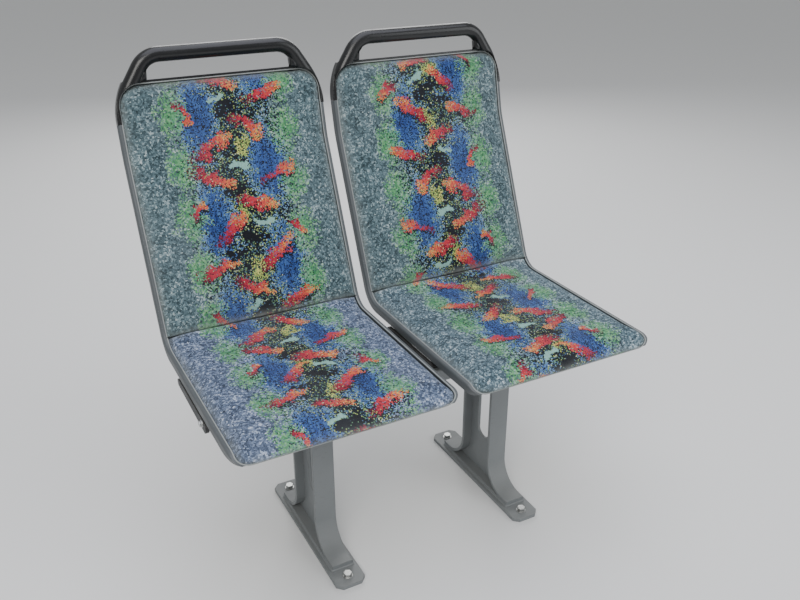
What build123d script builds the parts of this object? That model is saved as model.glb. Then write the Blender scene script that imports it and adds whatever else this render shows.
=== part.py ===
from build123d import *
from math import cos, radians, sin, tan
import os

# Twin bus passenger seat. Millimetres, +Z up, the sitters face -Y and +X is on their left hand.
# The origin is on the floor, under the middle of the whole seat.

# Driving sizes of one seat, and the room between the two
seat_gap = 23
seat_height = 440
cushion_depth = 418
back_low_length = 371
back_top_length = 144
back_low_recline = 23
back_top_recline = 13
nose_turn = 60
nose_length = 25.5
nose_radius = 40
bend_radius = 40
knee_radius = 150
right_angle = 90

# Pads, as they lie in the tray of the shell
pad_width = 420
pad_thickness = 28
pad_top_corner = 44
pad_front_corner = 25
pad_clearance = 0.3
seam_turn = 50
seam_gap = 0.6
cut_over = 1

# Moulded shell
rim_width = 8.5
rim_front = 8
rim_nose_width = 3.5
rim_front_round = 5
rim_back_bevel = 8
shell_wall = 5
nose_set_back = 1.5

# Grab handle, moulded as the top of the back
handle_recline = 3
handle_seam_drop = 75
handle_tube = 30
handle_rise = 68
handle_lean = 33
handle_shoulder_drop = 33
handle_shoulder_radius = 135
handle_corner_radius = 50
handle_shelf = 5

# Rear cover of the back
cover_width = 396
cover_back = 47
cover_wall = 3
cover_gap = 0.3
cover_top_drop = 6
cover_foot_rise = 70
cover_corner = 24
cover_bevel = 4
flute_count = 5
flute_pitch = 62
flute_width = 24
flute_depth = 1.5
flute_end = 36

# Seat runners, cross rails and side brackets, at distances forward of the bend of the seat
runner_spacing = 250
runner_width = 40
runner_wall = 3
runner_height = 16
runner_length = 300
rail_depth = 40
rail_height = 30
rail_wall = 2.5
rail_overhang = 175
front_rail_distance = 252
rear_rail_distance = 90
plug_lip = 3
plug_tongue = 18
bracket_thickness = 7
bracket_nose_distance = 255
bracket_nose_radius = 11
bracket_tail_distance = 86
bracket_tail_radius = 8
bracket_foot_reach = 64
bracket_foot_width = 20
bracket_foot_thickness = 4

# Pedestal legs and foot plates
leg_distance = 175
leg_spacing = 428
leg_width = 46
leg_web = 6
leg_flange = 7
leg_waist = 112
leg_top_lip = 9
leg_top_height = 12
leg_foot_lip = 19
leg_flare_radius = 60
leg_slot_length = 150
leg_slot_width = 44
foot_length = 370
foot_width = 64
foot_thickness = 8
foot_corner = 12
bolt_hole = 11
bolt_spacing = 320


def along(recline, length):
    """Step of a length up a line that leans back by an angle, in the side view."""
    return Vector(length * sin(radians(recline)), length * cos(radians(recline)))


def behind(recline, depth):
    """Step of a depth behind a line that leans back by an angle, in the side view."""
    return along(recline + right_angle, depth)


shell_width = pad_width + 2 * rim_width
seat_pitch = shell_width + seat_gap
rim_back = pad_thickness + pad_clearance + shell_wall
rim_middle = (rim_front + rim_back) / 2
nose_recline = right_angle - nose_turn
seat_edge = Vector(0, seat_height)
nose_edge = Vector(-cushion_depth, seat_height)
nose_way = Vector(-cos(radians(nose_turn)), -sin(radians(nose_turn)))
knee_rel = seat_edge + along(back_low_recline, back_low_length)
pad_top_rel = knee_rel + along(back_top_recline, back_top_length)
bend_half_turn = radians(right_angle - back_low_recline) / 2
bend_centre = seat_edge + Vector(-bend_radius * tan(bend_half_turn), bend_radius)
seam_way = Vector(cos(radians(seam_turn)), sin(radians(seam_turn)))
seam_step = seam_way * (seam_gap / 2)
handle_seam_step = along(back_top_recline, handle_seam_drop)
handle_seam_rel = pad_top_rel - handle_seam_step + behind(back_top_recline, rim_middle)
handle_rel = handle_seam_rel + along(handle_recline, handle_seam_drop)
bar_rise = handle_rise - handle_tube / 2
bar_rel = handle_rel + along(handle_recline, bar_rise)
front_reach = cushion_depth - nose_length * nose_way.X
shelf_top = pad_clearance + handle_shelf
tray_back = pad_top_rel + behind(back_top_recline, rim_back)
shelf_reach = tray_back.X + along(back_top_recline, shelf_top).X
rear_reach = max(shelf_reach, bar_rel.X + handle_tube / 2)
junction_y = (front_reach - rear_reach) / 2
runner_top = seat_height - rim_back
rail_top = runner_top - runner_height
leg_top = rail_top - rail_height
leg_flared = leg_waist + 2 * leg_flare_radius
leg_top_length = leg_flared + 2 * leg_top_lip
leg_foot_length = leg_flared + 2 * leg_foot_lip


def seat_line(depth, nose_extra, top_extra):
    """Side line of the seat, a depth behind the face of the pads, with concentric corners."""
    points = [
        nose_edge + nose_way * (nose_length + nose_extra),
        nose_edge,
        seat_edge,
        knee_rel,
        pad_top_rel + along(back_top_recline, top_extra),
    ]
    ways = [(b - a).normalized() for a, b in zip(points, points[1:])]
    rights = [Vector(way.Y, -way.X) for way in ways]
    moved = [points[0] + rights[0] * depth]
    for point, before, after in zip(points[1:-1], rights, rights[1:]):
        moved.append(point + (before + after) * (depth / (1 + before.dot(after))))
    moved.append(points[-1] + rights[-1] * depth)
    radii = [nose_radius - depth, bend_radius + depth, knee_radius + depth]
    return [(point.X + junction_y, point.Y) for point in moved], radii


def seat_band(seat_x, front, back, nose_extra, top_extra):
    """Closed side outline between two depths behind the face of the pads."""
    front_points, front_radii = seat_line(front, nose_extra, top_extra)
    back_points, back_radii = seat_line(back, nose_extra, top_extra)
    with BuildSketch(Plane.YZ.offset(seat_x)) as band:
        with BuildLine():
            FilletPolyline(*front_points, radius=front_radii)
            FilletPolyline(*back_points, radius=back_radii)
            Line(front_points[0], back_points[0])
            Line(front_points[-1], back_points[-1])
        make_face()
    return band.sketch


def cut_plane(seat_x, spot, way):
    """Plane across the seat at a spot, square to a way in the side view."""
    return Plane((seat_x, spot.X + junction_y, spot.Y), x_dir=(1, 0, 0), z_dir=(0, way.X, way.Y))


def front_plane(seat_x, spot, recline):
    """Plane that leans back by an angle and faces the front: X across, Y up."""
    return cut_plane(seat_x, spot, -behind(recline, 1))


def corner_waste(seat_x, width, front_extra, corner):
    """What lies outside the two rounded front corners of a seat, square to the nose."""
    nose_end = nose_edge + nose_way * (nose_length + front_extra)
    with BuildPart() as waste:
        with BuildSketch(front_plane(seat_x, nose_end, nose_recline)):
            Rectangle(width + 2 * cut_over, corner, align=(Align.CENTER, Align.MIN))
            Rectangle(width - 2 * corner, corner, align=(Align.CENTER, Align.MIN), mode=Mode.SUBTRACT)
            with Locations((corner - width / 2, corner), (width / 2 - corner, corner)):
                Circle(corner, mode=Mode.SUBTRACT)
        extrude(amount=2 * rim_back, both=True)
    return waste.part


def handle_outline(grow, foot_drop):
    """Points and radii of the handle's outline, a distance outside the middle line of its tube."""
    lean = radians(handle_lean)
    half = (shell_width - handle_tube) / 2 + grow
    shoulder = grow * tan(lean / 2) - handle_shoulder_drop
    top = bar_rise + grow
    corner = half - (top - shoulder) * tan(lean)
    right_side = [(corner, top), (half, shoulder), (half, -foot_drop)]
    left_side = [(-x, y) for x, y in reversed(right_side)]
    radii = [handle_shoulder_radius + grow, handle_corner_radius + grow]
    return left_side + right_side, radii + radii[::-1]


def cover_band(seat_x, front, back, ends_in):
    """Closed side outline of the rear cover between two depths, with both ends drawn in."""
    low = seat_edge + along(back_low_recline, cover_foot_rise + ends_in)
    high = pad_top_rel - along(back_top_recline, handle_seam_drop + cover_top_drop + ends_in)
    lines = []
    for depth in (front, back):
        low_right = behind(back_low_recline, depth)
        top_right = behind(back_top_recline, depth)
        cosine = cos(radians(back_low_recline - back_top_recline))
        knee = knee_rel + (low_right + top_right) / (1 + cosine)
        lines.append([(p.X + junction_y, p.Y) for p in (low + low_right, knee, high + top_right)])
    with BuildSketch(Plane.YZ.offset(seat_x)) as band:
        with BuildLine():
            FilletPolyline(*lines[0], radius=knee_radius + front)
            FilletPolyline(*lines[1], radius=knee_radius + back)
            Line(lines[0][0], lines[1][0])
            Line(lines[0][-1], lines[1][-1])
        make_face()
    return band.sketch


def cover_block(seat_x, front, back, inset):
    """Slab of the rear cover between two depths, with round corners, smaller all round by an inset."""
    with BuildPart() as block:
        extrude(cover_band(seat_x, front, back, inset), amount=cover_width / 2 - inset, both=True)
        ends = block.faces().sort_by(Axis.Z)
        corners = (ends[0].edges() + ends[-1].edges()).filter_by(Axis.X, reverse=True)
        fillet(corners, radius=cover_corner - inset)
    return block.part


def pad_block(seat_x, grow, front, back):
    """Both pads of a seat in one piece, or grown by a clearance, the room that they take."""
    with BuildPart() as block:
        extrude(seat_band(seat_x, front, back, grow, grow), amount=pad_width / 2 + grow, both=True)
        waste = corner_waste(seat_x, pad_width + 2 * grow, grow, pad_front_corner + grow)
        add(waste, mode=Mode.SUBTRACT)
        top = block.faces().sort_by(Axis.Z)[-1]
        fillet(top.edges().filter_by(Axis.X, reverse=True), radius=pad_top_corner + grow)
    return block.part


def save(piece, label):
    """Labels a finished piece and writes its file."""
    piece.part.label = label
    export_step(piece.part, f"parts/{label}.step")


os.makedirs("parts", exist_ok=True)
rail_distances = (front_rail_distance, rear_rail_distance)
runner_middle_y = junction_y - sum(rail_distances) / 2

for side, seat_x, outward in (("aisle", -seat_pitch / 2, -1), ("window", seat_pitch / 2, 1)):
    room = pad_block(seat_x, pad_clearance, -pad_thickness, pad_thickness + pad_clearance)

    # Shell: one moulded tray with a rounded rim, open at the nose, up to the handle's seam
    with BuildPart() as shell:
        band = seat_band(seat_x, rim_front, rim_back, -nose_set_back, -handle_seam_drop)
        extrude(band, amount=shell_width / 2, both=True)
        fillet(shell.edges().filter_by(Axis.Y).group_by(Axis.Z)[-1], radius=rim_front_round)
        chamfer(shell.edges().filter_by(Axis.Y).group_by(Axis.Z)[0], length=rim_back_bevel)
        waste = corner_waste(seat_x, shell_width, rim_nose_width, pad_front_corner + rim_width)
        add(waste, mode=Mode.SUBTRACT)
        add(room, mode=Mode.SUBTRACT)
    save(shell, f"{side}_shell")

    # Pads: they lie in the shell's tray and meet at the seam
    pads = pad_block(seat_x, 0, 0, pad_thickness)
    with BuildPart() as cushion:
        add(pads)
        split(bisect_by=cut_plane(seat_x, bend_centre - seam_step, seam_way), keep=Keep.BOTTOM)
    save(cushion, f"{side}_cushion")
    with BuildPart() as back_pad:
        add(pads)
        split(bisect_by=cut_plane(seat_x, bend_centre + seam_step, seam_way), keep=Keep.TOP)
    save(back_pad, f"{side}_back_pad")

    # Grab handle: the tray goes on behind the top of the pad, under a bent round tube
    with BuildPart() as handle:
        with BuildSketch(front_plane(seat_x, tray_back, back_top_recline)):
            with BuildLine():
                points, radii = handle_outline(handle_tube / 2, handle_seam_drop)
                FilletPolyline(*points, radius=radii)
                Line(points[0], points[-1])
            make_face()
            with Locations((0, shelf_top)):
                size = (shell_width, shelf_top + handle_seam_drop)
                Rectangle(*size, align=(Align.CENTER, Align.MAX), mode=Mode.INTERSECT)
        extrude(amount=rim_back - rim_front)
        rear_face = handle.faces().sort_by(Axis.Y)[-1]
        chamfer(rear_face.edges().filter_by(Axis.X, reverse=True), length=rim_back_bevel)

        tube_plane = front_plane(seat_x, handle_rel, handle_recline)
        points, radii = handle_outline(0, handle_seam_drop + handle_tube / 2)
        with BuildLine(tube_plane) as tube_path:
            FilletPolyline(*points, radius=radii)
        with BuildSketch(Plane(tube_path.line @ 0, z_dir=tube_path.line % 0)):
            Circle(handle_tube / 2)
        sweep(path=tube_path.line)
        split(bisect_by=cut_plane(seat_x, handle_seam_rel, along(back_top_recline, 1)), keep=Keep.TOP)
        add(room, mode=Mode.SUBTRACT)
    save(handle, f"{side}_grab_handle")

    # Rear cover: a fluted tray behind the back, from the bend up to the handle's seam
    with BuildPart() as cover:
        add(cover_block(seat_x, rim_back + cover_gap, cover_back, 0))
        chamfer(cover.edges().filter_by(Axis.X).sort_by(Axis.Z)[0], length=cover_bevel)
        add(cover_block(seat_x, pad_thickness, cover_back - cover_wall, cover_wall), mode=Mode.SUBTRACT)
        for flute in range(flute_count):
            flute_x = seat_x + (flute - (flute_count - 1) / 2) * flute_pitch
            extrude(
                cover_band(flute_x, cover_back - flute_depth, cover_back + cut_over, flute_end),
                amount=flute_width / 2,
                both=True,
                mode=Mode.SUBTRACT,
            )
    save(cover, f"{side}_back_cover")

    # Runners: two channels under the shell that lie on both rails
    for place, runner_x in (("left", seat_x - runner_spacing / 2), ("right", seat_x + runner_spacing / 2)):
        with BuildPart() as runner:
            with BuildSketch(Plane.XZ.offset(-runner_middle_y)):
                with Locations((runner_x, runner_top)):
                    Rectangle(runner_width, runner_height, align=(Align.CENTER, Align.MAX))
                with Locations((runner_x, runner_top - runner_wall)):
                    Rectangle(
                        runner_width - 2 * runner_wall,
                        runner_height,
                        align=(Align.CENTER, Align.MAX),
                        mode=Mode.SUBTRACT,
                    )
            extrude(amount=runner_length / 2, both=True)
        save(runner, f"{side}_{place}_runner")

    # Side brackets: a tapered plate under each side of the shell, with a foot on both rails
    for place, way, plate_low in (("outer", outward, 0), ("inner", -outward, rail_top)):
        outer_face = seat_x + way * shell_width / 2
        with BuildPart() as bracket:
            with BuildSketch(Plane.YZ.offset(outer_face)):
                for distance, radius in (
                    (bracket_nose_distance, bracket_nose_radius),
                    (bracket_tail_distance, bracket_tail_radius),
                ):
                    with Locations((junction_y - distance, runner_top - pad_clearance - radius)):
                        Circle(radius)
                make_hull()
                with Locations((junction_y, plate_low)):
                    size = (2 * cushion_depth, runner_top)
                    Rectangle(*size, align=(Align.CENTER, Align.MIN), mode=Mode.INTERSECT)
            extrude(amount=-way * bracket_thickness)
            with BuildSketch(Plane.XY.offset(rail_top)):
                foot_x = outer_face - way * bracket_foot_reach / 2
                with Locations([(foot_x, junction_y - distance) for distance in rail_distances]):
                    Rectangle(bracket_foot_reach, bracket_foot_width)
            extrude(amount=bracket_foot_thickness)
        save(bracket, f"{side}_{place}_bracket")

# Cross rails: square tubes under both seats, closed by plugs
rail_end = seat_pitch / 2 + rail_overhang
for place, distance in zip(("front", "rear"), rail_distances):
    rail_centre = (junction_y - distance, rail_top - rail_height / 2)
    with BuildPart() as rail:
        with BuildSketch(Plane.YZ) as profile:
            with Locations(rail_centre):
                Rectangle(rail_depth, rail_height)
                chamfer(profile.vertices(), length=rail_wall)
                Rectangle(rail_depth - 2 * rail_wall, rail_height - 2 * rail_wall, mode=Mode.SUBTRACT)
        extrude(amount=rail_end, both=True)
    save(rail, f"{place}_cross_rail")
    for side, way in (("aisle", -1), ("window", 1)):
        with BuildPart() as plug:
            with BuildSketch(Plane.YZ.offset(way * rail_end)) as lip:
                with Locations(rail_centre):
                    Rectangle(rail_depth, rail_height)
                    chamfer(lip.vertices(), length=rail_wall)
            extrude(amount=way * plug_lip)
            with BuildSketch(Plane.YZ.offset(way * rail_end)):
                with Locations(rail_centre):
                    tongue_gap = 2 * (rail_wall + pad_clearance)
                    Rectangle(rail_depth - tongue_gap, rail_height - tongue_gap)
            extrude(amount=-way * plug_tongue)
        save(plug, f"{side}_{place}_rail_plug")

# Pedestal legs with flared ends and an open web, and foot plates with floor bolt holes
leg_y = junction_y - leg_distance
leg_height = leg_top - foot_thickness
for side, leg_x in (("aisle", -leg_spacing / 2), ("window", leg_spacing / 2)):
    with BuildSketch(Plane.YZ.offset(leg_x)) as leg_side:
        with Locations((leg_y, foot_thickness)):
            Rectangle(leg_waist, leg_height, align=(Align.CENTER, Align.MIN))
            Rectangle(leg_foot_length, leg_top_height, align=(Align.CENTER, Align.MIN))
        with Locations((leg_y, leg_top)):
            Rectangle(leg_top_length, leg_top_height, align=(Align.CENTER, Align.MAX))
        waist = leg_side.vertices().filter_by(lambda corner: abs(corner.X - leg_y) < leg_waist)
        fillet(waist, radius=leg_flare_radius)
    with BuildPart() as leg:
        extrude(leg_side.sketch, amount=leg_width / 2, both=True)
        pocket = offset(leg_side.sketch, amount=-leg_flange, kind=Kind.INTERSECTION, mode=Mode.PRIVATE)
        for way in (-1, 1):
            extrude(Pos(way * leg_web / 2, 0, 0) * pocket, amount=way * leg_width, mode=Mode.SUBTRACT)
        with BuildSketch(Plane.YZ.offset(leg_x)):
            with Locations((leg_y, foot_thickness + leg_height / 2)):
                SlotOverall(leg_slot_length, leg_slot_width, rotation=90)
        extrude(amount=leg_width, both=True, mode=Mode.SUBTRACT)
    save(leg, f"{side}_leg")

    with BuildPart() as foot:
        with BuildSketch() as plate:
            with Locations((leg_x, leg_y)):
                Rectangle(foot_width, foot_length)
            chamfer(plate.vertices(), length=foot_corner)
            with Locations((leg_x, leg_y - bolt_spacing / 2), (leg_x, leg_y + bolt_spacing / 2)):
                Circle(bolt_hole / 2, mode=Mode.SUBTRACT)
        extrude(amount=foot_thickness)
    save(foot, f"{side}_foot_plate")
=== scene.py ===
import math
import bmesh
import bpy
from mathutils import Matrix, Vector


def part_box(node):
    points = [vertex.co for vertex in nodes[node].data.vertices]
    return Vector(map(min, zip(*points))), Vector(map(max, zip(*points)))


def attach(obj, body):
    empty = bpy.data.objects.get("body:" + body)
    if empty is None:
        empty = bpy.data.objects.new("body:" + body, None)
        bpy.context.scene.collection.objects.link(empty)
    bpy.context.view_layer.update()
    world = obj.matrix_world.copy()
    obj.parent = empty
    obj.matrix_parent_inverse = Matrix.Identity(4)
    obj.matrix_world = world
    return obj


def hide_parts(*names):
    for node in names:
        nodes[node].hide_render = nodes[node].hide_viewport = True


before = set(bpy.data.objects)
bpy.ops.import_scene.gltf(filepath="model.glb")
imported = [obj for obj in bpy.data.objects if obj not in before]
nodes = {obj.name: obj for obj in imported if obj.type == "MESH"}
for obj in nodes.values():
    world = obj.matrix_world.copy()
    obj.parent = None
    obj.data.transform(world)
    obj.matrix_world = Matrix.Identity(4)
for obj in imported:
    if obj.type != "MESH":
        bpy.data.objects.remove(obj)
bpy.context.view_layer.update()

sides = ("aisle", "window")
print("frame loaded,", len(nodes), "nodes")


# small helpers

def paint(red, green, blue):
    # a colour as a paint chart gives it, 0 to 255, made linear
    def linear(value):
        value /= 255
        return value / 12.92 if value < 0.04045 else ((value + 0.055) / 1.055) ** 2.4
    return (linear(red), linear(green), linear(blue), 1)


def addNode(tree, kind, sockets=None, **settings):
    made = tree.nodes.new("ShaderNode" + kind)
    for key, value in settings.items():
        setattr(made, key, value)
    for key, value in (sockets or {}).items():
        if isinstance(value, bpy.types.NodeSocket):
            tree.links.new(value, made.inputs[key])
        else:
            made.inputs[key].default_value = value
    return made


def calc(tree, operation, *values, clamp=False):
    sockets = dict(enumerate(values))
    return addNode(tree, "Math", sockets, operation=operation, use_clamp=clamp).outputs[0]


def plus(tree, first, second):
    return calc(tree, "ADD", first, second)


def times(tree, first, second, clamp=False):
    return calc(tree, "MULTIPLY", first, second, clamp=clamp)


def spreadFrom(tree, value, level, gain, clamp=False):
    # how far a value is over a level, times a gain
    return times(tree, calc(tree, "SUBTRACT", value, level), gain, clamp)


def blended(tree, first, firstShare, second, secondShare):
    # two values added up, each times its share
    return plus(tree, times(tree, first, firstShare), times(tree, second, secondShare))


def vectorCalc(tree, operation, first, second):
    # the second is a number where the first is scaled, and otherwise a vector
    key = "Scale" if operation == "SCALE" else 1
    return addNode(tree, "VectorMath", {0: first, key: second}, operation=operation).outputs["Vector"]


def strayed(tree, place, noise, spread):
    # a place moved by a noise colour, by up to half the spread each way
    centred = vectorCalc(tree, "SUBTRACT", noise, (0.5, 0.5, 0.5))
    return vectorCalc(tree, "ADD", place, vectorCalc(tree, "SCALE", centred, spread))


def axesOf(tree, vector):
    return addNode(tree, "SeparateXYZ", {"Vector": vector}).outputs


def noiseOf(tree, place, scale, detail, **settings):
    sockets = {"Vector": place, "Scale": scale, "Detail": detail}
    return addNode(tree, "TexNoise", sockets, **settings).outputs


def flatNoise(tree, place, scale, detail):
    return noiseOf(tree, place, scale, detail, noise_dimensions="2D")


def mixColour(tree, factor, under, over):
    # sockets 6 and 7 of the Mix node are its two colours
    return addNode(tree, "Mix", {0: factor, 6: under, 7: over}, data_type="RGBA").outputs[2]


def rampOf(tree, factor, stops, interpolation="LINEAR"):
    # a stop is its place and a paint's red, green and blue
    made = addNode(tree, "ValToRGB", {"Fac": factor})
    ramp = made.color_ramp
    ramp.interpolation = interpolation
    while len(ramp.elements) < len(stops):
        ramp.elements.new(0.5)
    for element, (place, *colour) in zip(ramp.elements, stops):
        element.position = place
        element.color = paint(*colour)
    return made.outputs["Color"]


def bumpFrom(tree, height, strength, distance, normal=None):
    sockets = {"Height": height, "Strength": strength, "Distance": distance}
    if normal is not None:
        sockets["Normal"] = normal
    return addNode(tree, "Bump", sockets).outputs["Normal"]


def newGroup(name, inputs, outputs):
    # inputs and outputs give the kind of each socket by its name
    tree = bpy.data.node_groups.new(name, "ShaderNodeTree")
    for way, sockets in (("INPUT", inputs), ("OUTPUT", outputs)):
        for label, kind in sockets.items():
            tree.interface.new_socket(label, in_out=way, socket_type="NodeSocket" + kind)
    start = tree.nodes.new("NodeGroupInput")
    end = tree.nodes.new("NodeGroupOutput")
    return tree, start.outputs, end.inputs


def useGroup(tree, group, sockets):
    return addNode(tree, "Group", sockets, node_tree=group).outputs


def newMaterial(name):
    made = bpy.data.materials.new(name)
    made.use_nodes = True
    tree = made.node_tree
    return made, tree, tree.nodes["Principled BSDF"].inputs


def newObject(name, data):
    made = bpy.data.objects.new(name, data)
    bpy.context.scene.collection.objects.link(made)
    return made


def finishPiece(name, mesh, material, replaced=()):
    piece = newObject(name, mesh)
    mesh.materials.append(material)
    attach(piece, "root")
    if replaced:
        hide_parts(*replaced)
    return piece


def meshOf(name, shape):
    mesh = bpy.data.meshes.new(name)
    shape.to_mesh(mesh)
    shape.free()
    return mesh


def addCopy(whole, part, place=Matrix()):
    # puts a copy of one shape into another
    copied = bpy.data.meshes.new("copied")
    part.to_mesh(copied)
    copied.transform(place)
    whole.from_mesh(copied)
    bpy.data.meshes.remove(copied)


def spotOn(nodeName, start, way):
    # where a line meets a node's surface, and the way that the surface faces there
    return nodes[nodeName].ray_cast(Vector(start), Vector(way))[1:3]


# camera at the photograph's viewing angle

cameraView = {
    "place": (-0.734, -1.420, 1.258),
    "target": (0.000, -0.050, 0.506),
    "lens": 38,
}
cameraData = bpy.data.cameras.new("camera")
cameraData.lens = cameraView["lens"]
camera = newObject("camera", cameraData)
camera.location = cameraView["place"]
lookWay = Vector(cameraView["target"]) - camera.location
camera.rotation_euler = lookWay.to_track_quat("-Z", "Y").to_euler()
bpy.context.scene.camera = camera


# studio

studio = {
    "lights": {
        # place, size, power and tint
        "key": ((-2.2, -2.6, 2.9), 2.2, 95, (1.0, 0.98, 0.95)),
        "fill": ((2.8, -2.2, 1.7), 2.6, 45, (0.95, 0.98, 1.0)),
        "sky": ((0.1, -0.2, 3.4), 3.2, 75, (0.86, 0.88, 1.0)),
        "behind": ((1.2, 3.0, 2.2), 2.4, 60, (1.0, 1.0, 1.0)),
    },
    "aim": (0, 0, 0.45),
    "air": (0.86, 0.88, 0.9, 1), "airStrength": 0.55,
    "floorTint": (0.72, 0.72, 0.71, 1), "floorRoughness": 0.7, "floorReach": 60,
}
for lightName, (place, size, power, tint) in studio["lights"].items():
    lightData = bpy.data.lights.new(lightName, "AREA")
    lightData.size = size
    lightData.energy = power
    lightData.color = tint
    light = newObject(lightName, lightData)
    light.location = place
    aim = Vector(studio["aim"]) - light.location
    light.rotation_euler = aim.to_track_quat("-Z", "Y").to_euler()

world = bpy.data.worlds.new("studio")
bpy.context.scene.world = world
world.use_nodes = True
air = world.node_tree.nodes["Background"].inputs
air["Color"].default_value = studio["air"]
air["Strength"].default_value = studio["airStrength"]

floorShape = bmesh.new()
bmesh.ops.create_grid(floorShape, x_segments=1, y_segments=1, size=studio["floorReach"])
studioFloor = newObject("floor", meshOf("floor", floorShape))
floorPaint, _, floorSockets = newMaterial("studioFloor")
floorSockets["Base Color"].default_value = studio["floorTint"]
floorSockets["Roughness"].default_value = studio["floorRoughness"]
studioFloor.data.materials.append(floorPaint)
print("camera and studio ready")


# shared shader groups

wearLook = {"samples": 6, "gain": 7.0, "patchLevel": 0.38, "patchGain": 4.0}
scuffLook = {
    "turn": (0.4, 0.3, 0.7), "stretch": (1, 14, 5), "lineLevel": 0.6, "lineGain": 9.0,
    "patchScale": 9.0, "patchLevel": 0.42, "patchGain": 4.0,
}
grainLook = {"hazeScale": 350.0}
strokeLook = {"endPower": 4.0, "sidePower": 2.5}     # the higher, the squarer its ends and its sides


def makeEdgeWear(look):
    # where an edge is rubbed: the rounded normal leaves the true one, broken up by noise
    inputs = {"Place": "Vector", "Radius": "Float", "Patch Scale": "Float"}
    tree, given, result = newGroup("edgeWear", inputs, {"Mask": "Float", "Rounded": "Vector"})
    rounded = addNode(tree, "Bevel", {"Radius": given["Radius"]}, samples=look["samples"]).outputs["Normal"]
    flat = addNode(tree, "NewGeometry").outputs["Normal"]
    facing = addNode(tree, "VectorMath", {0: rounded, 1: flat}, operation="DOT_PRODUCT").outputs["Value"]
    turned = spreadFrom(tree, 1.0, facing, look["gain"], clamp=True)
    patches = noiseOf(tree, given["Place"], given["Patch Scale"], detail=5.0)["Fac"]
    broken = spreadFrom(tree, patches, look["patchLevel"], look["patchGain"], clamp=True)
    tree.links.new(times(tree, turned, broken), result["Mask"])
    tree.links.new(rounded, result["Rounded"])
    return tree


def makeScuffs(look):
    # fine rubbed lines and dull patches of long use
    inputs = {"Place": "Vector", "Line Scale": "Float"}
    tree, given, result = newGroup("scuffs", inputs, {"Lines": "Float", "Dull": "Float"})
    sockets = {"Vector": given["Place"], "Rotation": look["turn"], "Scale": look["stretch"]}
    stretched = addNode(tree, "Mapping", sockets).outputs["Vector"]
    lines = noiseOf(tree, stretched, given["Line Scale"], detail=4.0)["Fac"]
    sharp = spreadFrom(tree, lines, look["lineLevel"], look["lineGain"], clamp=True)
    where = noiseOf(tree, given["Place"], look["patchScale"], detail=4.0)["Fac"]
    patch = spreadFrom(tree, where, look["patchLevel"], look["patchGain"], clamp=True)
    tree.links.new(times(tree, sharp, patch), result["Lines"])
    tree.links.new(patch, result["Dull"])
    return tree


def makeMouldedGrain(look):
    # fine leather-like grain of moulded plastic
    inputs = {"Place": "Vector", "Scale": "Float"}
    tree, given, result = newGroup("mouldedGrain", inputs, {"Height": "Float"})
    sockets = {"Vector": given["Place"], "Scale": given["Scale"]}
    cells = addNode(tree, "TexVoronoi", sockets, feature="SMOOTH_F1").outputs["Distance"]
    haze = noiseOf(tree, given["Place"], look["hazeScale"], detail=3.0)["Fac"]
    tree.links.new(plus(tree, cells, haze), result["Height"])
    return tree


def makeBrushStroke(look):
    # one slanted stroke of the print, laid over the strokes before it
    inputs = {"Place": "Vector", "Centre": "Vector"}
    for label in ("Chance", "Under", "Under Along", "Turn", "Length", "Width", "Fray"):
        inputs[label] = "Float"
    tree, given, result = newGroup("brushStroke", inputs, {"Mask": "Float", "Along": "Float"})
    local = vectorCalc(tree, "SUBTRACT", given["Place"], given["Centre"])
    back = times(tree, given["Turn"], -1.0)
    turned = addNode(tree, "VectorRotate", {"Vector": local, "Angle": back}, rotation_type="Z_AXIS")
    axes = axesOf(tree, turned.outputs["Vector"])
    along = calc(tree, "DIVIDE", axes["X"], given["Length"])
    across = calc(tree, "DIVIDE", axes["Y"], given["Width"])
    toEnd = calc(tree, "POWER", calc(tree, "ABSOLUTE", times(tree, along, 2.0)), look["endPower"])
    toSide = calc(tree, "POWER", calc(tree, "ABSOLUTE", times(tree, across, 2.0)), look["sidePower"])
    frayed = spreadFrom(tree, given["Chance"], 0.5, given["Fray"])
    mask = calc(tree, "LESS_THAN", plus(tree, plus(tree, toEnd, toSide), frayed), 1.0)
    tree.links.new(calc(tree, "MAXIMUM", mask, given["Under"]), result["Mask"])
    here = plus(tree, along, 0.5)
    mixed = addNode(tree, "Mix", {0: mask, 2: given["Under Along"], 3: here}, data_type="FLOAT").outputs[0]
    tree.links.new(mixed, result["Along"])
    return tree


edgeWear = makeEdgeWear(wearLook)
scuffs = makeScuffs(scuffLook)
mouldedGrain = makeMouldedGrain(grainLook)
brushStroke = makeBrushStroke(strokeLook)


# moquette: a generic woven print of slanted strokes down the middle of a speckled ground

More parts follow.
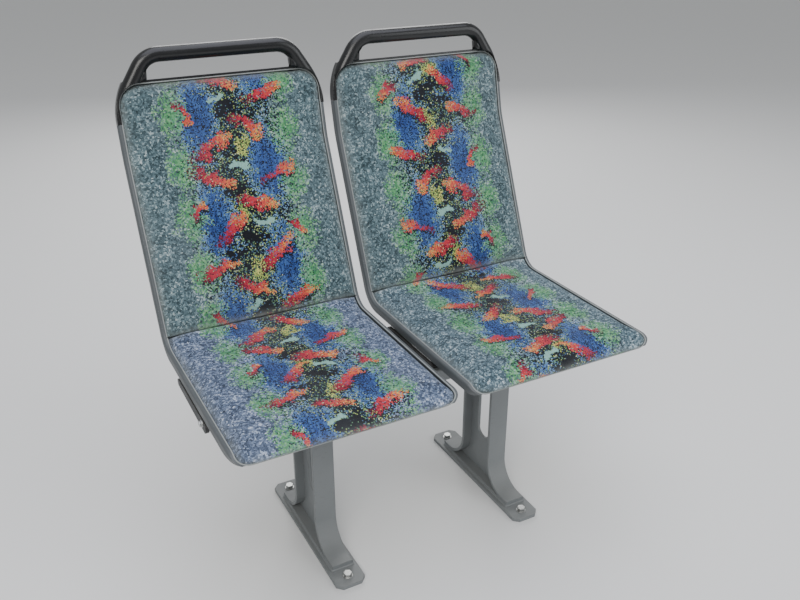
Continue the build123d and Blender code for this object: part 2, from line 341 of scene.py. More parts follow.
# a stroke is its place across and along the cloth, turn in degrees, length and width
warmPlaces = [
    (-0.046, 0.028, 30, 0.092, 0.023),
    (0.034, 0.064, -36, 0.078, 0.022),
    (0.076, 0.122, 22, 0.084, 0.021),
    (-0.094, 0.100, -58, 0.048, 0.015),
    (-0.014, 0.160, -24, 0.074, 0.022),
    (-0.082, 0.208, 14, 0.080, 0.020),
    (0.046, 0.222, 36, 0.090, 0.023),
    (0.106, 0.268, -48, 0.046, 0.016),
    (-0.034, 0.286, 42, 0.076, 0.022),
    (0.024, 0.334, -16, 0.086, 0.022),
    (-0.100, 0.334, 52, 0.044, 0.016),
    (-0.056, 0.394, -30, 0.082, 0.022),
    (0.086, 0.388, 20, 0.072, 0.019),
]
moquette = {
    "tuft": 0.0021,          # width of one woven tuft
    "flecks": 300.0,         # flecks of yarn to a metre
    "fibres": 1500.0,        # fibres of the pile to a metre
    "fuzz": 0.0011,          # how far the fibres of a tuft spread over its neighbours
    "repeat": 0.43,          # length of the print before it starts again
    "windowShift": (0.012, 0.17),
    "wanderScale": 34.0, "wander": 0.036,
    "streakScale": 260.0, "streakStretch": (1.0, 0.1, 1.0),
    "ground": {"scale": 28.0, "level": 0.42, "broad": 0.45, "flecks": 0.62, "tufts": 0.30},
    "band": {
        "scale": 22.0, "halfWidth": 0.050, "waver": 0.070, "fray": 0.046,
        "yarns": 0.72, "flecks": 0.28,
        "tones": [
            (0.0, 17, 20, 24), (0.50, 44, 56, 62), (0.60, 70, 98, 124),
            (0.70, 94, 130, 100), (0.80, 150, 168, 98), (0.91, 192, 196, 162),
        ],
    },
    "blue": {
        "centre": 0.066, "period": 0.215, "start": 0.02, "halfWidth": 0.042, "halfLength": 0.086,
        "fray": 1.5, "far": 0.40, "streaks": 0.62, "level": 0.7, "tufts": 0.28,
        "tones": [(0.0, 24, 40, 84), (0.28, 44, 74, 136), (0.58, 76, 114, 166), (0.95, 126, 162, 188)],
    },
    "green": {
        "centre": 0.114, "period": 0.1075, "start": 0.06, "halfWidth": 0.026, "halfLength": 0.038,
        "fray": 2.6, "flecks": 0.8, "far": 0.2, "cover": 0.86,
        "tones": [(0.0, 48, 116, 74), (0.5, 86, 154, 96), (1.0, 142, 184, 132)],
    },
    "strokeScale": 1.04,     # of the lengths and widths of all strokes
    "lime": {
        "fray": 3.2,
        "places": [
            (0.006, 0.196, 70, 0.050, 0.026), (-0.004, 0.318, -64, 0.044, 0.026),
            (0.020, 0.024, 58, 0.044, 0.024),
        ],
        "tones": [(0.0, 92, 134, 72), (0.5, 164, 178, 92), (1.0, 214, 200, 112)],
    },
    "black": {"reach": 0.104, "gaps": 0.72, "tint": paint(18, 22, 30)},
    "dark": {
        "fray": 1.6, "gaps": 0.16, "tint": paint(20, 22, 29),
        "places": [
            (-0.006, 0.100, 24, 0.052, 0.024), (0.010, 0.262, -30, 0.056, 0.024),
            (-0.012, 0.362, 18, 0.050, 0.022), (-0.036, 0.236, 10, 0.046, 0.018),
        ],
    },
    "pale": {
        "fray": 1.8, "tint": paint(132, 174, 164),
        "places": [
            (-0.022, 0.120, 20, 0.040, 0.011), (0.030, 0.292, -26, 0.038, 0.011),
            (0.004, 0.412, 12, 0.034, 0.010),
        ],
    },
    "shadow": {
        "fray": 2.8, "gaps": 0.30, "tint": paint(22, 24, 30),
        "shift": (0.004, -0.008, 0), "places": warmPlaces,
    },
    "warm": {
        "fray": 2.6, "gaps": 0.12, "mottle": 0.62, "places": warmPlaces,
        "tones": [
            (0.0, 104, 24, 44), (0.26, 166, 40, 60), (0.62, 188, 60, 64),
            (0.82, 206, 108, 62), (1.0, 216, 162, 86),
        ],
    },
    # the last of these paints shade at the foot of each tuft and light on its top
    "shade": {"columns": 0.16, "tufts": 0.18, "least": 0.64, "domeShadeGain": 0.34},
    "rubbed": {"scale": 60.0, "gain": 0.9, "least": 0.05, "tint": paint(160, 166, 162)},
    "dust": {"scale": 5.0, "level": 0.4, "gain": 0.22, "tint": paint(140, 144, 150)},
    "creases": {"scale": 14.0, "bump": 0.25, "depth": 0.004},
    "pile": {"even": 0.6, "uneven": 0.8, "bump": 0.6, "depth": 0.0007},
    "surface": {
        "Roughness": 0.92, "Specular IOR Level": 0.2, "Sheen Weight": 0.08, "Sheen Roughness": 0.45,
    },
}


def makeMoquette(name, groundTints, spec):
    material, tree, shader = newMaterial(name)
    tuft = spec["tuft"]
    cloth = addNode(tree, "UVMap", uv_map="cloth").outputs["UV"]
    fuzzy = strayed(tree, cloth, flatNoise(tree, cloth, spec["fibres"], detail=2.0)["Color"], spec["fuzz"])
    tufts = vectorCalc(tree, "SNAP", fuzzy, (tuft, tuft, 1))

    # each tuft is a small dome: its heights make the pile bump further down, and the dome paints shade at
    # the tuft's foot and light on its top
    stitch = axesOf(tree, vectorCalc(tree, "MODULO", fuzzy, (tuft, tuft, 1)))
    heights = []
    for axis in ("X", "Y"):
        phase = times(tree, stitch[axis], math.pi / tuft)
        heights.append(calc(tree, "ABSOLUTE", calc(tree, "SINE", phase)))
    tuftDomeShade = calc(tree, "SQRT", times(tree, heights[0], heights[1]))

    # three separate chances for each tuft, and one for each fleck of a few tufts
    fine = addNode(tree, "TexWhiteNoise", {"Vector": tufts}, noise_dimensions="2D").outputs
    chances = addNode(tree, "SeparateColor", {"Color": fine["Color"]}).outputs
    chance, yarn, spark = chances["Red"], chances["Green"], chances["Blue"]
    cells = addNode(tree, "TexVoronoi", {"Vector": tufts, "Scale": spec["flecks"]}, voronoi_dimensions="2D")
    fleck = addNode(tree, "SeparateColor", {"Color": cells.outputs["Color"]}).outputs["Red"]

    # the strokes wander a little, as a woven copy of brush work does
    wander = flatNoise(tree, tufts, spec["wanderScale"], detail=2.0)["Color"]
    axes = axesOf(tree, strayed(tree, tufts, wander, spec["wander"]))
    across = axes["X"]
    along = calc(tree, "FLOORED_MODULO", axes["Y"], spec["repeat"])
    place = addNode(tree, "CombineXYZ", {"X": across, "Y": along}).outputs["Vector"]
    width = calc(tree, "ABSOLUTE", across)
    rightSide = calc(tree, "GREATER_THAN", across, 0.0)

    # speckled ground, and a darker speckle down the middle
    ground, band = spec["ground"], spec["band"]
    broad = flatNoise(tree, cloth, ground["scale"], detail=3.0)["Fac"]
    speckle = blended(tree, fleck, ground["flecks"], chance, ground["tufts"])
    speckle = plus(tree, speckle, spreadFrom(tree, broad, ground["level"], ground["broad"]))
    blend = blended(tree, yarn, band["yarns"], fleck, band["flecks"])
    bandNoise = flatNoise(tree, tufts, band["scale"], detail=2.0)["Fac"]
    bandEdge = plus(tree, band["halfWidth"], times(tree, bandNoise, band["waver"]))
    fromMiddle = plus(tree, width, spreadFrom(tree, fleck, 0.5, band["fray"]))
    inBand = calc(tree, "LESS_THAN", fromMiddle, bandEdge)
    night = rampOf(tree, blend, band["tones"], "CONSTANT")
    printed = mixColour(tree, inBand, rampOf(tree, speckle, groundTints), night)

    def columnPatch(patch):
        # patches in a column on both sides, staggered from left to right
        staggered = plus(tree, along, times(tree, rightSide, patch["period"] / 2))
        row = calc(tree, "FLOORED_MODULO", plus(tree, staggered, patch["start"]), patch["period"])
        down = calc(tree, "DIVIDE", calc(tree, "SUBTRACT", row, patch["period"] / 2), patch["halfLength"])
        side = calc(tree, "DIVIDE", calc(tree, "SUBTRACT", width, patch["centre"]), patch["halfWidth"])
        far = plus(tree, times(tree, down, down), times(tree, side, side))
        rough = spreadFrom(tree, yarn, 0.5, patch["fray"])
        return calc(tree, "LESS_THAN", plus(tree, far, rough), 1.0), far

    # the warp shows as fine upright streaks, strongest in the blue
    upright = addNode(tree, "Mapping", {"Vector": tufts, "Scale": spec["streakStretch"]}).outputs["Vector"]
    streak = flatNoise(tree, upright, spec["streakScale"], detail=1.0)["Fac"]
    blue, green = spec["blue"], spec["green"]
    blueMask, blueFar = columnPatch(blue)
    blueTone = blended(tree, blueFar, blue["far"], streak, blue["streaks"])
    blueTone = plus(tree, blueTone, spreadFrom(tree, chance, blue["level"], blue["tufts"]))
    printed = mixColour(tree, blueMask, printed, rampOf(tree, blueTone, blue["tones"]))
    greenMask, greenFar = columnPatch(green)
    greenMask = times(tree, greenMask, green["cover"])
    greenTone = blended(tree, fleck, green["flecks"], greenFar, green["far"])
    printed = mixColour(tree, greenMask, printed, rampOf(tree, greenTone, green["tones"]))

    def layStrokes(layer):
        # where the strokes of a layer are, and how far along its stroke each point is
        mask, reach = 0.0, 0.0
        for acrossPlace, alongPlace, turn, length, strokeWidth in layer["places"]:
            outputs = useGroup(tree, brushStroke, {
                "Place": place, "Chance": blend, "Under": mask, "Under Along": reach,
                "Centre": Vector((acrossPlace, alongPlace, 0)) + Vector(layer.get("shift", (0, 0, 0))),
                "Turn": math.radians(turn), "Length": length * spec["strokeScale"],
                "Width": strokeWidth * spec["strokeScale"], "Fray": layer["fray"],
            })
            mask, reach = outputs["Mask"], outputs["Along"]
        return mask, reach

    def thinned(mask, draw, gaps):
        # leaves some tufts out of a mask
        return times(tree, mask, calc(tree, "GREATER_THAN", draw, gaps))

    # black yarn comes through all over the band, and a little through the strokes
    lime, black, dark, pale = spec["lime"], spec["black"], spec["dark"], spec["pale"]
    printed = mixColour(tree, layStrokes(lime)[0], printed, rampOf(tree, chance, lime["tones"]))
    through = thinned(calc(tree, "LESS_THAN", fromMiddle, black["reach"]), spark, black["gaps"])
    printed = mixColour(tree, through, printed, black["tint"])
    darkMask = thinned(layStrokes(dark)[0], chance, dark["gaps"])
    printed = mixColour(tree, darkMask, printed, dark["tint"])
    printed = mixColour(tree, layStrokes(pale)[0], printed, pale["tint"])

    # each warm stroke lies on its own dark one
    shadow, warm = spec["shadow"], spec["warm"]
    shadowMask = thinned(layStrokes(shadow)[0], chance, shadow["gaps"])
    printed = mixColour(tree, shadowMask, printed, shadow["tint"])
    warmMask, warmReach = layStrokes(warm)
    warmMask = thinned(warmMask, spark, warm["gaps"])
    warmTone = plus(tree, warmReach, spreadFrom(tree, blend, 0.5, warm["mottle"]))
    printed = mixColour(tree, warmMask, printed, rampOf(tree, warmTone, warm["tones"]))

    # tufts and warp columns differ a little from each other in tone, and the dome paints shade at each
    # tuft's foot and light on its top
    shade, column = spec["shade"], axesOf(tree, tufts)["X"]
    columnChance = addNode(tree, "TexWhiteNoise", {"W": column}, noise_dimensions="1D").outputs["Value"]
    light = blended(tree, columnChance, shade["columns"], spark, shade["tufts"])
    light = plus(tree, plus(tree, light, shade["least"]), times(tree, tuftDomeShade, shade["domeShadeGain"]))
    shaded = vectorCalc(tree, "SCALE", printed, light)

    # the pile is rubbed pale along the border and dusty in broad patches
    rub, dust = spec["rubbed"], spec["dust"]
    border = addNode(tree, "Attribute", attribute_name="rubbed", attribute_type="GEOMETRY").outputs["Fac"]
    rubNoise = flatNoise(tree, cloth, rub["scale"], detail=4.0)["Fac"]
    rubNoise = plus(tree, times(tree, rubNoise, rub["gain"]), rub["least"])
    worn = mixColour(tree, times(tree, border, rubNoise, clamp=True), shaded, rub["tint"])
    dustNoise = flatNoise(tree, cloth, dust["scale"], detail=5.0)["Fac"]
    dusty = spreadFrom(tree, dustNoise, dust["level"], dust["gain"], clamp=True)
    tree.links.new(mixColour(tree, dusty, worn, dust["tint"]), shader["Base Color"])

    # pile height: rounded tufts of uneven height over soft creases
    creases, pile = spec["creases"], spec["pile"]
    uneven = plus(tree, pile["even"], times(tree, chance, pile["uneven"]))
    tuftHeight = times(tree, plus(tree, heights[0], heights[1]), uneven)
    creaseNoise = flatNoise(tree, cloth, creases["scale"], detail=3.0)["Fac"]
    soft = bumpFrom(tree, creaseNoise, creases["bump"], creases["depth"])
    tree.links.new(bumpFrom(tree, tuftHeight, pile["bump"], pile["depth"], soft), shader["Normal"])
    for socketName, value in spec["surface"].items():
        shader[socketName].default_value = value
    return material


# the ground of each cloth, from its darkest to its palest yarn
groundTints = {
    "back": [
        (0.02, 30, 42, 46), (0.24, 52, 70, 75), (0.48, 76, 96, 102),
        (0.66, 96, 118, 124), (0.82, 136, 156, 160), (0.98, 184, 196, 196),
    ],
    # the aisle cushion's lilac is a painted sky reflection on the same teal cloth as the others
    "aisleCushionPaintedSky": [
        (0.02, 32, 40, 54), (0.24, 54, 66, 86), (0.48, 82, 96, 120),
        (0.66, 108, 124, 150), (0.82, 152, 166, 190), (0.98, 204, 212, 226),
    ],
    "windowCushion": [
        (0.02, 30, 42, 48), (0.24, 50, 68, 76), (0.48, 76, 96, 106),
        (0.66, 102, 124, 134), (0.82, 146, 166, 174), (0.98, 198, 210, 214),
    ],
}
cloths = {name: makeMoquette("moquette_" + name, tints, moquette) for name, tints in groundTints.items()}
print("moquette woven")


# hard finishes

hardLook = {
    "driftRough": 0.08, "dustScale": 25.0, "dustTint": paint(150, 148, 142),
    "grainDepth": 0.0003, "scuffBump": 0.2, "scuffDepth": 0.0002,
}


def makeHardFinish(name, spec):
    # moulded plastic or coated metal: colour drift, grain, scuffs, rubbed edges and dust from above
    material, tree, shader = newMaterial(name)
    place = addNode(tree, "TexCoord").outputs["Object"]
    drift = noiseOf(tree, place, spec["driftScale"], detail=6.0)["Fac"]
    base = mixColour(tree, drift, spec["dark"], spec["light"])
    marks = useGroup(tree, scuffs, {"Place": place, "Line Scale": spec["scuffScale"]})
    lined = times(tree, marks["Lines"], spec["scuffs"])
    base = mixColour(tree, lined, base, spec["rubbed"])
    wearSockets = {"Place": place, "Radius": spec["edge"], "Patch Scale": spec["edgeScale"]}
    edges = useGroup(tree, edgeWear, wearSockets)
    rubbedEdge = times(tree, edges["Mask"], spec["wear"])
    base = mixColour(tree, rubbedEdge, base, spec["rubbed"])
    upward = axesOf(tree, addNode(tree, "NewGeometry").outputs["Normal"])["Z"]
    dustNoise = noiseOf(tree, place, hardLook["dustScale"], detail=6.0)["Fac"]
    dust = times(tree, times(tree, upward, dustNoise, clamp=True), spec["dust"])
    tree.links.new(mixColour(tree, dust, base, hardLook["dustTint"]), shader["Base Color"])
    rough = plus(tree, spec["roughness"], times(tree, marks["Dull"], spec["dull"]))
    rough = plus(tree, rough, times(tree, drift, hardLook["driftRough"]))
    tree.links.new(rough, shader["Roughness"])
    grain = useGroup(tree, mouldedGrain, {"Place": place, "Scale": spec["grainScale"]})["Height"]
    fine = bumpFrom(tree, grain, spec["grain"], hardLook["grainDepth"], edges["Rounded"])
    scratched = bumpFrom(tree, marks["Lines"], hardLook["scuffBump"], hardLook["scuffDepth"], fine)
    tree.links.new(scratched, shader["Normal"])
    shader["Metallic"].default_value = spec["metallic"]
    return material


# what most finishes have; each gives its own where it differs
commonFinish = {"scuffs": 0.3, "wear": 0.3, "dull": 0.16, "metallic": 0.0}
hardFinishes = {
    "shellGrey": {
        "dark": paint(62, 67, 70), "light": paint(80, 85, 88), "rubbed": paint(158, 160, 158),
        "driftScale": 4.0, "scuffScale": 80.0, "scuffs": 0.35, "edge": 0.003, "edgeScale": 70.0,
        "wear": 0.32, "dust": 0.16, "roughness": 0.42, "grain": 0.35, "grainScale": 1100.0,
    },
    "handleBlack": {
        "dark": paint(10, 11, 12), "light": paint(16, 17, 19), "rubbed": paint(80, 80, 78),
        "driftScale": 5.0, "scuffScale": 95.0, "scuffs": 0.2, "edge": 0.0025, "edgeScale": 90.0,
        "dust": 0.04, "roughness": 0.17, "dull": 0.12, "grain": 0.12, "grainScale": 1300.0,
    },
    "frameGrey": {
        "dark": paint(104, 108, 110), "light": paint(122, 126, 127), "rubbed": paint(70, 66, 62),
        "driftScale": 6.0, "scuffScale": 70.0, "edge": 0.0022, "edgeScale": 130.0, "wear": 0.5,
        "dust": 0.30, "roughness": 0.44, "grain": 0.5, "grainScale": 620.0,
    },
    "bracketBlack": {
        "dark": paint(24, 25, 27), "light": paint(36, 37, 39), "rubbed": paint(120, 118, 114),
        "driftScale": 8.0, "scuffScale": 90.0, "edge": 0.0018, "edgeScale": 150.0, "wear": 0.5,
        "dust": 0.22, "roughness": 0.42, "dull": 0.14, "grain": 0.45, "grainScale": 700.0,
    },
    "plugBlack": {
        "dark": paint(26, 26, 27), "light": paint(38, 38, 39), "rubbed": paint(100, 100, 98),
        "driftScale": 12.0, "scuffScale": 110.0, "edge": 0.0015, "edgeScale": 150.0,
        "dust": 0.2, "roughness": 0.5, "dull": 0.12, "grain": 0.3, "grainScale": 1300.0,
    },
    "zincSteel": {
        "dark": paint(176, 178, 178), "light": paint(206, 206, 202), "rubbed": paint(120, 112, 100),
        "driftScale": 60.0, "scuffScale": 200.0, "scuffs": 0.4, "edge": 0.0008, "edgeScale": 300.0,
        "dust": 0.12, "roughness": 0.26, "grain": 0.12, "grainScale": 1600.0, "metallic": 1.0,
    },
    "weltTape": {
        "dark": paint(118, 124, 126), "light": paint(160, 164, 161), "rubbed": paint(196, 193, 184),
        "driftScale": 45.0, "scuffScale": 160.0, "scuffs": 0.5, "edge": 0.001, "edgeScale": 160.0,
        "dust": 0.1, "roughness": 0.62, "dull": 0.1, "grain": 0.5, "grainScale": 1500.0,
    },
}
finishes = {name: makeHardFinish(name, {**commonFinish, **spec}) for name, spec in hardFinishes.items()}

nodeFinish = {
    "shell": "shellGrey", "back_cover": "shellGrey", "grab_handle": "handleBlack",
    "runner": "frameGrey", "leg": "frameGrey", "foot_plate": "frameGrey", "cross_rail": "frameGrey",
    "bracket": "bracketBlack", "rail_plug": "plugBlack",
}
for nodeName, nodeObject in nodes.items():
    for ending, finishName in nodeFinish.items():
        if nodeName.endswith(ending):
            nodeObject.data.materials.clear()
            nodeObject.data.materials.append(finishes[finishName])
print("hard finishes placed on the frame")


# side line of the seat, from the front end of the cushion to the top of the back

seatSide = {
    "height": 0.440,                             # top of the cushion over the floor
    "lengths": (0.0255, 0.418, 0.371, 0.144),    # nose, cushion, back and its top, to sharp corners
    "startTurn": 60,                             # degrees, as all turns here
    "turns": (-60, 67, 10),                      # of the three corners between them
    "radii": (0.040, 0.040, 0.150),
    "seamTurn": 50,                              # how far round the bend the two pads meet
}

# a straight run is its length without what the rounded corners take off it
corners = list(zip(seatSide["radii"], seatSide["turns"]))
cuts = [radius * math.tan(math.radians(abs(turn) / 2)) for radius, turn in corners]
sideRuns = []
for index, length in enumerate(seatSide["lengths"]):
    sideRuns.append((length - sum(cuts[max(index - 1, 0):index + 1]), 0))
    sideRuns += [(radius * math.radians(abs(turn)), turn) for radius, turn in corners[index:index + 1]]
sideLength = sum(length for length, turn in sideRuns)
bendStart = sum(length for length, turn in sideRuns[:3])
seam = bendStart + seatSide["radii"][1] * math.radians(seatSide["seamTurn"])
startHeading = math.radians(seatSide["startTurn"])
startHeight = seatSide["height"] - seatSide["lengths"][0] * math.sin(startHeading)
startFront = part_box("aisle_cushion")[0].y
seatMiddles = {side: sum(corner.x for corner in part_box(side + "_cushion")) / 2 for side in sides}


def sidePoint(travel, depth):
    # y and z of a point along the seat's face, a depth behind it
    y, z, heading, left = startFront, startHeight, startHeading, travel
    for length, turn in sideRuns:
        step = min(left, length)
        if turn:
            radius = length / math.radians(turn)
            swing = math.radians(turn) * step / length
            y += radius * (math.sin(heading + swing) - math.sin(heading))
            z += radius * (math.cos(heading) - math.cos(heading + swing))
            heading += swing
        else:
            y += step * math.cos(heading)
            z += step * math.sin(heading)
        left -= step
        if left <= 0:
            break
    return y + depth * math.sin(heading), z - depth * math.cos(heading)


# pads: flat slabs with rounded corners, bent along the side line, then blown up a little as cloth

padBody = {
    "width": 0.4196, "thickness": 0.0278, "endGap": 0.0006, "seamGap": 0.0008,
    "columns": 52, "wallRows": 3, "wallEdge": 0.0005, "printStart": 0.08, "rubReach": 0.006, "rub": 0.8,
    "rowSpread": 0.86,       # nearer to 1 brings the rows at the borders closer together
}
pads = {
    "cushion": {
        "from": padBody["endGap"], "to": seam - padBody["seamGap"],
        "corner": 0.025, "cornersAtStart": True,
        "rows": 56, "startRound": 0.006, "endRound": 0.006, "sideRound": 0.016,
        # the aisle cushion takes the ground with the painted sky reflection
        "crown": 0.0045, "cloths": {"aisle": "aisleCushionPaintedSky", "window": "windowCushion"},
    },
    "back_pad": {
        "from": seam + padBody["seamGap"], "to": sideLength - padBody["endGap"],
        "corner": 0.044, "cornersAtStart": False,
        "rows": 62, "startRound": 0.006, "endRound": 0.012, "sideRound": 0.012,
        "crown": 0.0040, "cloths": {"aisle": "back", "window": "back"},
    },
}


def borderRows(value):
    # from -0.5 to 0.5 into -1 to 1, with the rows closer together near both borders
    swing = math.pi * padBody["rowSpread"]
    return math.sin(value * swing) / math.sin(swing / 2)


def outlinePoint(vert, spec, halfWidth):
    # across and along the pad for a point of a grid of size 1, whose corners at one end are rounded
    inward = 1 if spec["cornersAtStart"] else -1
    radius = spec["corner"]
    innerX = halfWidth - radius
    innerTravel = (spec["from"] if spec["cornersAtStart"] else spec["to"]) + inward * radius
    x = borderRows(vert.co.x) * halfWidth
    travel = spec["from"] + (0.5 + 0.5 * borderRows(vert.co.y)) * (spec["to"] - spec["from"])
    sideways = (abs(x) - innerX) / radius
    endways = (innerTravel - travel) * inward / radius
    if sideways <= 0 or endways <= 0:
        return x, travel
    roundX = sideways * math.sqrt(1 - endways * endways / 2)
    roundTravel = endways * math.sqrt(1 - sideways * sideways / 2)
    return math.copysign(innerX + roundX * radius, x), innerTravel - inward * roundTravel * radius


def rolled(distance, radius):
    # how far the edge has gone down at a distance from the border, and the extra cloth that this takes up
    if distance >= radius:
        return 0.0, 0.0
    share = 1 - max(distance, 0.0) / radius
    return radius * (1 - math.sqrt(max(1 - share * share, 0.0))), radius * (math.asin(share) - share)


def cornerDistance(x, travel, spec, halfWidth):
    # distance to the rounded side border, and to both ends
    corner = spec["corner"]
    side, start, end = halfWidth - abs(x), travel - spec["from"], spec["to"] - travel
    rounded = start if spec["cornersAtStart"] else end
    if side < corner and rounded < corner:
        side = rounded = corner - math.hypot(corner - side, corner - rounded)
        start, end = (rounded, end) if spec["cornersAtStart"] else (start, rounded)
    return side, start, end


def makePad(name, spec):
    shape = bmesh.new()
    bmesh.ops.create_grid(shape, x_segments=padBody["columns"], y_segments=spec["rows"], size=0.5)
    halfWidth, thickness = padBody["width"] / 2, padBody["thickness"]
    for vert in shape.verts:
        x, travel = outlinePoint(vert, spec, halfWidth)
        vert.co = Vector((x, travel, 0))
    bottom = list(shape.faces)
    raised = bmesh.ops.extrude_face_region(shape, geom=bottom, use_keep_orig=True)["geom"]
    top = [item for item in raised if isinstance(item, bmesh.types.BMVert)]
    bmesh.ops.translate(shape, verts=top, vec=(0, 0, thickness))
    walls = [edge for edge in shape.edges if abs(edge.verts[0].co.z - edge.verts[1].co.z) > thickness / 2]
    bmesh.ops.subdivide_edges(shape, edges=walls, cuts=padBody["wallRows"], use_grid_fill=True)
    bmesh.ops.recalc_face_normals(shape, faces=shape.faces)

    # the print keeps its size where the cloth wraps over the border
    rubbedLayer = shape.verts.layers.float.new("rubbed")
    clothLayer = shape.loops.layers.uv.new("cloth")
    rounds = (spec["sideRound"], spec["startRound"], spec["endRound"])
    for face in shape.faces:
        for loop in face.loops:
            x, travel, height = loop.vert.co
            spreads = []
            for distance, radius in zip(cornerDistance(x, travel, spec, halfWidth), rounds):
                onWall = distance < padBody["wallEdge"]
                wall = (thickness - radius) * (1 - height / thickness) if onWall else 0
                spreads.append(rolled(distance, radius)[1] + wall)
            sideways, nearStart, nearEnd = spreads
            along = travel - nearStart + nearEnd + padBody["printStart"]
            loop[clothLayer].uv = (x + math.copysign(sideways, x), along)

    # roll the upper edge, then bend it all along the side line
    for vert in shape.verts:
        x, travel, height = vert.co
        depth = thickness - height
        distances = cornerDistance(x, travel, spec, halfWidth)
        sunk = max(rolled(distance, radius)[0] for distance, radius in zip(distances, rounds))
        depth += sunk * (1 - depth / thickness)
        vert[rubbedLayer] = math.exp(-max(min(distances), 0) / padBody["rubReach"]) * padBody["rub"]
        y, z = sidePoint(travel, depth)
        vert.co = Vector((x, y, z))

    # operators leave another order each run, and the cloth run depends on it: sort along an odd slant
    sortWay = Vector((1.0, 7.3, 53.1))
    shape.verts.sort(key=lambda vert: vert.co.dot(sortWay))
    shape.edges.sort(key=lambda edge: (edge.verts[0].co + edge.verts[1].co).dot(sortWay))
    shape.faces.sort(key=lambda face: face.calc_center_median().dot(sortWay))
    return meshOf(name, shape)


clothRun = {
    "pressure": 4.0, "frames": 20, "stiffness": 12.0, "bending": 0.8, "quality": 6, "mass": 0.25,
    "lean": 20,              # degrees from straight up to the way between the cushion and the back
    "facing": 0.25,          # cloth is held where the cosine between its normal and that way is less
    "give": 0.12,            # how much of its crown a pad may swell past it
}


def puffUp(mesh, spec):
    # the cover swells like stuffed cloth; its underside and lower wall stay in the tray
    helper = newObject("puffHelper", mesh)
    held = helper.vertex_groups.new(name="held")
    rest = [vert.co.copy() for vert in mesh.vertices]
    outward = Vector((0, -math.sin(math.radians(clothRun["lean"])), 1)).normalized()
    for vert in mesh.vertices:
        free = vert.normal.dot(outward) > clothRun["facing"]
        held.add([vert.index], 0.0 if free else 1.0, "REPLACE")
    cloth = helper.modifiers.new("cloth", "CLOTH")
    settings = cloth.settings
    settings.quality = clothRun["quality"]
    settings.mass = clothRun["mass"]
    settings.tension_stiffness = clothRun["stiffness"]
    settings.compression_stiffness = clothRun["stiffness"]
    settings.bending_stiffness = clothRun["bending"]
    settings.use_pressure = True
    settings.uniform_pressure_force = clothRun["pressure"]
    settings.vertex_group_mass = "held"
    settings.effector_weights.gravity = 0
    cloth.collision_settings.use_collision = False
    cloth.point_cache.frame_start = 1
    cloth.point_cache.frame_end = clothRun["frames"]
    for number in range(1, clothRun["frames"] + 1):
        bpy.context.scene.frame_set(number)
    depsgraph = bpy.context.evaluated_depsgraph_get()
    swollen = helper.evaluated_get(depsgraph).to_mesh()
    crown = spec["crown"]
    for vert, before in zip(swollen.vertices, rest):
        move = vert.co - before
        if move.length > crown:
            move = move.normalized() * crown * (1 + clothRun["give"] * math.tanh(move.length / crown - 1))
        mesh.vertices[vert.index].co = before + move
    helper.evaluated_get(depsgraph).to_mesh_clear()
    bpy.data.objects.remove(helper)
    bpy.context.scene.frame_set(1)


for padName, padSpec in pads.items():
    padMesh = makePad(padName, padSpec)
    puffUp(padMesh, padSpec)
    padMesh.shade_smooth()
    for side in sides:
        copied = padMesh.copy()
        copied.transform(Matrix.Translation((seatMiddles[side], 0, 0)))
        # the window seat's cloth was cut from another part of the roll
        if side == "window":
            acrossRoll, alongRoll = moquette["windowShift"]
            for loopUv in copied.uv_layers["cloth"].data:
                loopUv.uv = (-loopUv.uv[0] + acrossRoll, loopUv.uv[1] + alongRoll)
        padCloth = cloths[padSpec["cloths"][side]]
        nodeName = side + "_" + padName
        pad = finishPiece(nodeName + "_cover", copied, padCloth, [nodeName])
        softer = pad.modifiers.new("softer", "SUBSURF")
        softer.levels = softer.render_levels = 1
print("pads covered")


# welts: a thin tape round each pad, pressed into the groove of the rim

welts = {"radius": 0.0014, "depth": 0.0085, "inset": 0.0002}


def borderOfGrid(columns, rows, openEnd=None):
    # the border of a grid of size 1 as a line, without the end at y = openEnd
    shape = bmesh.new()
    bmesh.ops.create_grid(shape, x_segments=columns, y_segments=rows, size=0.5)
    unwanted = [
        edge for edge in shape.edges
        if not edge.is_boundary or openEnd and all(abs(vert.co.y - openEnd) < 1e-4 for vert in edge.verts)
    ]
    bmesh.ops.delete(shape, geom=unwanted, context="EDGES_FACES")
    loose = [vert for vert in shape.verts if not vert.link_edges]
    bmesh.ops.delete(shape, geom=loose, context="VERTS")
    return shape


def makeWelt(spec, seatX):
    shape = borderOfGrid(padBody["columns"], spec["rows"], 0.5 if spec["cornersAtStart"] else -0.5)
    for vert in shape.verts:
        x, travel = outlinePoint(vert, spec, padBody["width"] / 2 + welts["inset"])
        y, z = sidePoint(travel, welts["depth"])
        vert.co = Vector((x + seatX, y, z))
    return meshOf("welt", shape)


def tubeFromLine(mesh, radius):
    # a line mesh becomes a curve, gets its thickness, and becomes a mesh again
    helper = newObject("lineHelper", mesh)
    bpy.ops.object.select_all(action="DESELECT")
    helper.select_set(True)
    bpy.context.view_layer.objects.active = helper
    bpy.ops.object.convert(target="CURVE")
    helper.data.bevel_depth = radius
    helper.data.bevel_resolution = 2
    helper.data.use_fill_caps = True
    bpy.ops.object.convert(target="MESH")
    tube = helper.data.copy()
    bpy.data.objects.remove(helper)
    tube.shade_smooth()
    return tube


for side in sides:
    for padName, padSpec in pads.items():
        weltMesh = tubeFromLine(makeWelt(padSpec, seatMiddles[side]), welts["radius"])
        finishPiece(side + "_" + padName + "_welt", weltMesh, finishes["weltTape"])
print("welts laid")


# small webs that close the lower corners of each handle's opening

handleWeb = {
    "across": 0.100, "over": 0.034,              # a line down from here meets the shelf under the opening
    "tubeDown": 0.015, "tubeLean": 3.0,
    "foot": 0.0095, "height": 0.027, "levels": 6, "curve": 1.35, "depth": 0.019, "blend": 0.0060,
    "sink": 0.009, "lift": 0.001, "seat": 0.0015, "shelfSlope": 13.0, "round": 0.0045, "rimGap": 0.004,
}


